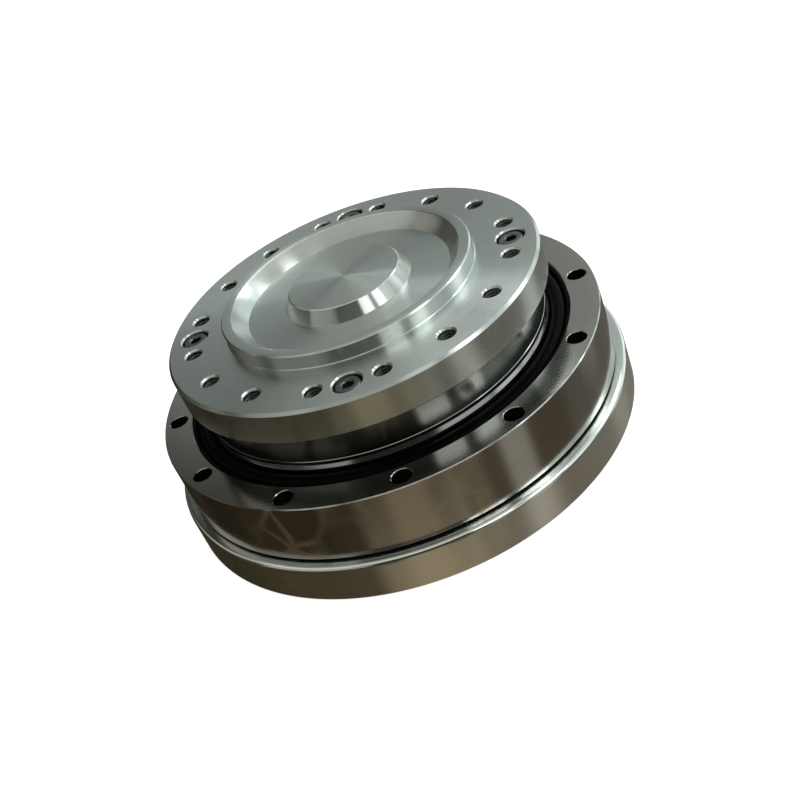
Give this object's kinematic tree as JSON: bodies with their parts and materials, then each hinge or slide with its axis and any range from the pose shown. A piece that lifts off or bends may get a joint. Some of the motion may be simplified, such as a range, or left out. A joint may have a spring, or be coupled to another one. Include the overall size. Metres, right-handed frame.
{
  "type": "strain wave gearbox",
  "caption": "Round strain wave gearbox with a crossed roller bearing: a wave generator bends a toothed cup, which turns the tapped output flange slowly over a bolted bottom flange.",
  "frame": {"origin": "on the gearbox's main axis, at the bottom face of the bottom flange", "axes": "+Z along the main axis from the motor side to the output flange; +X along the wave generator's long axis at rest"},
  "size_m": [0.138, 0.138, 0.0555],
  "materials": {
    "housing_steel": "fine turned",
    "flange_steel": "fine turned",
    "bearing_steel": "ground and polished",
    "spring_steel": "ground",
    "plug_steel": "turned",
    "screw_black": "black oxide",
    "seal_rubber": "smooth, oiled",
    "spacer_plastic": "moulded",
    "washer_bronze": "flat ground"
  },
  "bodies": {
    "housing": {"circular_spline": "housing_steel", "bearing_outer_ring": "housing_steel", "shaft_seal": "seal_rubber", "joint_seal": "seal_rubber", "assembly_screws": "screw_black"},
    "output": {"output_flange": "flange_steel", "flange_screws": "screw_black", "inner_ring_upper": "bearing_steel", "inner_ring_lower": "bearing_steel", "flexspline": "spring_steel", "clamp_ring": "spring_steel", "clamp_screws": "screw_black"},
    "roller_set": {"cross_rollers": "bearing_steel", "roller_spacers": "spacer_plastic"},
    "wave_generator": {"wave_plug": "plug_steel", "race_inner": "bearing_steel", "race_outer": "bearing_steel", "bearing_balls": "bearing_steel", "ball_cage": "spacer_plastic", "oldham_insert": "plug_steel", "rub_washers": "washer_bronze", "snap_ring": "screw_black", "input_hub": "plug_steel"}
  },
  "joints": [
    {"name": "output_turn", "type": "hinge", "parent": "housing", "child": "output", "pos_m": [0, 0, 0], "axis": [0, 0, 1], "continuous": true},
    {"name": "wave_generator_turn", "type": "hinge", "parent": "housing", "child": "wave_generator", "pos_m": [0, 0, 0], "axis": [0, 0, 1], "continuous": true, "deforming": ["flexspline"]},
    {"name": "roller_set_turn", "type": "hinge", "parent": "housing", "child": "roller_set", "pos_m": [0, 0, 0], "axis": [0, 0, 1], "continuous": true}
  ],
  "couplings": [
    {"joint": "wave_generator_turn", "follows": "output_turn", "ratio": -51},
    {"joint": "roller_set_turn", "follows": "output_turn", "ratio": 0.4836}
  ]
}
